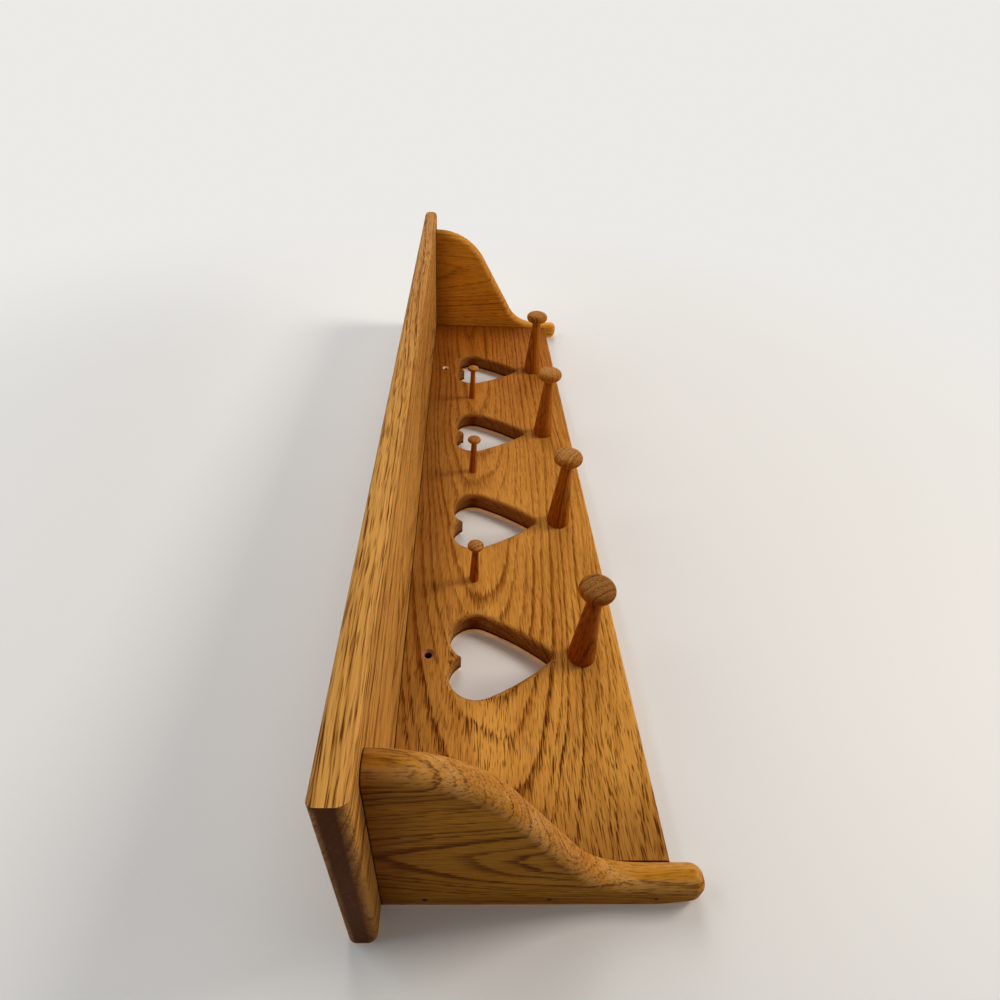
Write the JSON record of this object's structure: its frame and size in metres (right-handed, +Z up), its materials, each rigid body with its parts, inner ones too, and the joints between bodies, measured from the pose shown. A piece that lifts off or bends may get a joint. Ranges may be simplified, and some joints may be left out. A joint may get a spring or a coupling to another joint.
{
  "type": "peg rail shelf",
  "caption": "Wall-hung oak shelf on ogee brackets, over a back panel pierced with hearts, with large turned pegs for coats and small ones for cups.",
  "frame": {"origin": "midway between the two wall screw holes, in the plane of the wall", "axes": "+X along the rail to the right as seen from the front, +Y into the wall, +Z up; the pegs point along -Y"},
  "size_m": [0.9144, 0.1895, 0.226],
  "materials": {
    "board_oak": "golden oak stain under satin varnish",
    "bracket_oak": "golden oak stain under satin varnish",
    "peg_oak": "turned, stained and satin varnished",
    "brad_steel": "bright wire, dulled"
  },
  "bodies": {
    "root": {"shelf_board": "board_oak", "back_panel": "board_oak", "left_bracket": "bracket_oak", "right_bracket": "bracket_oak", "large_peg_1": "peg_oak", "large_peg_2": "peg_oak", "large_peg_3": "peg_oak", "large_peg_4": "peg_oak", "small_peg_1": "peg_oak", "small_peg_2": "peg_oak", "small_peg_3": "peg_oak", "left_bracket_brads": "brad_steel", "right_bracket_brads": "brad_steel", "left_shelf_brads": "brad_steel", "right_shelf_brads": "brad_steel", "panel_shelf_brads": "brad_steel"}
  },
  "joints": []
}
